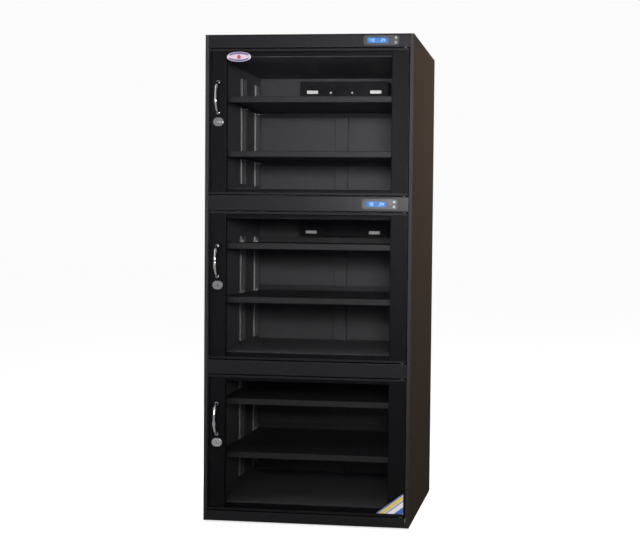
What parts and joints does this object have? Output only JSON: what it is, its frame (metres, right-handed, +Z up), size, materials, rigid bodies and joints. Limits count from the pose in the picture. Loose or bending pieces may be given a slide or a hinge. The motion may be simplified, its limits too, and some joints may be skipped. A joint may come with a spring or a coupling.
{
  "type": "camera dry cabinet",
  "caption": "Tall black steel humidity-controlled cabinet with hinged glass doors, chrome handles and key locks, adjustable shelves and digital controllers.",
  "frame": {"origin": "on the floor under the middle of the whole cabinet", "axes": "+Z up, -Y towards the user who opens the doors, +X to the right of the front"},
  "size_m": [0.67, 0.5564, 1.56],
  "materials": {
    "black_paint": "semi-gloss black powder coat",
    "inner_paint": "satin charcoal powder coat",
    "post_zinc": "dull zinc plate",
    "zinc": "zinc plate",
    "chrome": "polished",
    "smoked_glass": "clear grey tempered glass",
    "gasket_rubber": "soft black",
    "foot_rubber": "hard black",
    "case_plastic": "matt black",
    "bezel_plastic": "satin black",
    "display": "lit blue liquid crystal display",
    "button_plastic": "pale grey",
    "vent_plastic": "white",
    "bush_nylon": "natural nylon",
    "inlet_plastic": "black"
  },
  "bodies": {
    "body": {"left_side_panel": "black_paint", "right_side_panel": "black_paint", "left_liner": "inner_paint", "right_liner": "inner_paint", "top_panel": "black_paint", "back_panel": "black_paint", "top_fascia": "black_paint", "middle_fascia": "black_paint", "lower_fascia": "black_paint", "kick_plinth": "black_paint", "door_landing_bars": "inner_paint", "rear_base_channel": "black_paint", "bay_ceilings": "inner_paint", "bay_floors": "inner_paint", "shelf_posts": "post_zinc", "upper_bay_top_shelf": "inner_paint", "upper_bay_bottom_shelf": "inner_paint", "middle_bay_top_shelf": "inner_paint", "middle_bay_bottom_shelf": "inner_paint", "lower_bay_top_shelf": "inner_paint", "lower_bay_bottom_shelf": "inner_paint", "shelf_clips": "zinc", "dry_unit_cases": "case_plastic", "dry_unit_vents": "vent_plastic", "controller_bezels": "bezel_plastic", "controller_displays": "display", "wiring_ducts": "inner_paint", "power_inlet": "inlet_plastic", "hinge_bushes": "bush_nylon", "lock_strikes": "zinc", "levelling_feet": "foot_rubber", "back_panel_screws": "zinc"},
    "upper_door": {"upper_door_frame": "black_paint", "upper_door_glass": "smoked_glass", "upper_door_gasket": "gasket_rubber", "upper_handle": "chrome", "upper_hinge_pins": "zinc", "upper_lock_barrel": "chrome"},
    "upper_lock": {"upper_lock_plug": "chrome", "upper_lock_cam": "zinc"},
    "middle_door": {"middle_door_frame": "black_paint", "middle_door_glass": "smoked_glass", "middle_door_gasket": "gasket_rubber", "middle_handle": "chrome", "middle_hinge_pins": "zinc", "middle_lock_barrel": "chrome"},
    "middle_lock": {"middle_lock_plug": "chrome", "middle_lock_cam": "zinc"},
    "lower_door": {"lower_door_frame": "black_paint", "lower_door_glass": "smoked_glass", "lower_door_gasket": "gasket_rubber", "lower_handle": "chrome", "lower_hinge_pins": "zinc", "lower_lock_barrel": "chrome"},
    "lower_lock": {"lower_lock_plug": "chrome", "lower_lock_cam": "zinc"},
    "upper_set_button": {"upper_set_button": "button_plastic"},
    "upper_adjust_button": {"upper_adjust_button": "button_plastic"},
    "middle_set_button": {"middle_set_button": "button_plastic"},
    "middle_adjust_button": {"middle_adjust_button": "button_plastic"}
  },
  "joints": [
    {"name": "upper_door_hinge", "type": "hinge", "parent": "body", "child": "upper_door", "pos_m": [0.3085, -0.23783, 1.285], "axis": [0, 0, 1], "range_deg": [0, 115]},
    {"name": "middle_door_hinge", "type": "hinge", "parent": "body", "child": "middle_door", "pos_m": [0.3085, -0.23783, 0.765], "axis": [0, 0, 1], "range_deg": [0, 115]},
    {"name": "lower_door_hinge", "type": "hinge", "parent": "body", "child": "lower_door", "pos_m": [0.3085, -0.23783, 0.259], "axis": [0, 0, 1], "range_deg": [0, 115]},
    {"name": "upper_lock_turn", "type": "hinge", "parent": "upper_door", "child": "upper_lock", "pos_m": [-0.291, -0.24483, 1.285], "axis": [0, 1, 0], "range_deg": [0, 90]},
    {"name": "middle_lock_turn", "type": "hinge", "parent": "middle_door", "child": "middle_lock", "pos_m": [-0.291, -0.24483, 0.765], "axis": [0, 1, 0], "range_deg": [0, 90]},
    {"name": "lower_lock_turn", "type": "hinge", "parent": "lower_door", "child": "lower_lock", "pos_m": [-0.291, -0.24483, 0.259], "axis": [0, 1, 0], "range_deg": [0, 90]},
    {"name": "upper_set_button_press", "type": "slide", "parent": "body", "child": "upper_set_button", "axis": [0, 1, 0], "range_m": [0, 0.001], "stiffness_N_per_m": 400, "springref_m": -0.0005},
    {"name": "upper_adjust_button_press", "type": "slide", "parent": "body", "child": "upper_adjust_button", "axis": [0, 1, 0], "range_m": [0, 0.001], "stiffness_N_per_m": 400, "springref_m": -0.0005},
    {"name": "middle_set_button_press", "type": "slide", "parent": "body", "child": "middle_set_button", "axis": [0, 1, 0], "range_m": [0, 0.001], "stiffness_N_per_m": 400, "springref_m": -0.0005},
    {"name": "middle_adjust_button_press", "type": "slide", "parent": "body", "child": "middle_adjust_button", "axis": [0, 1, 0], "range_m": [0, 0.001], "stiffness_N_per_m": 400, "springref_m": -0.0005}
  ]
}
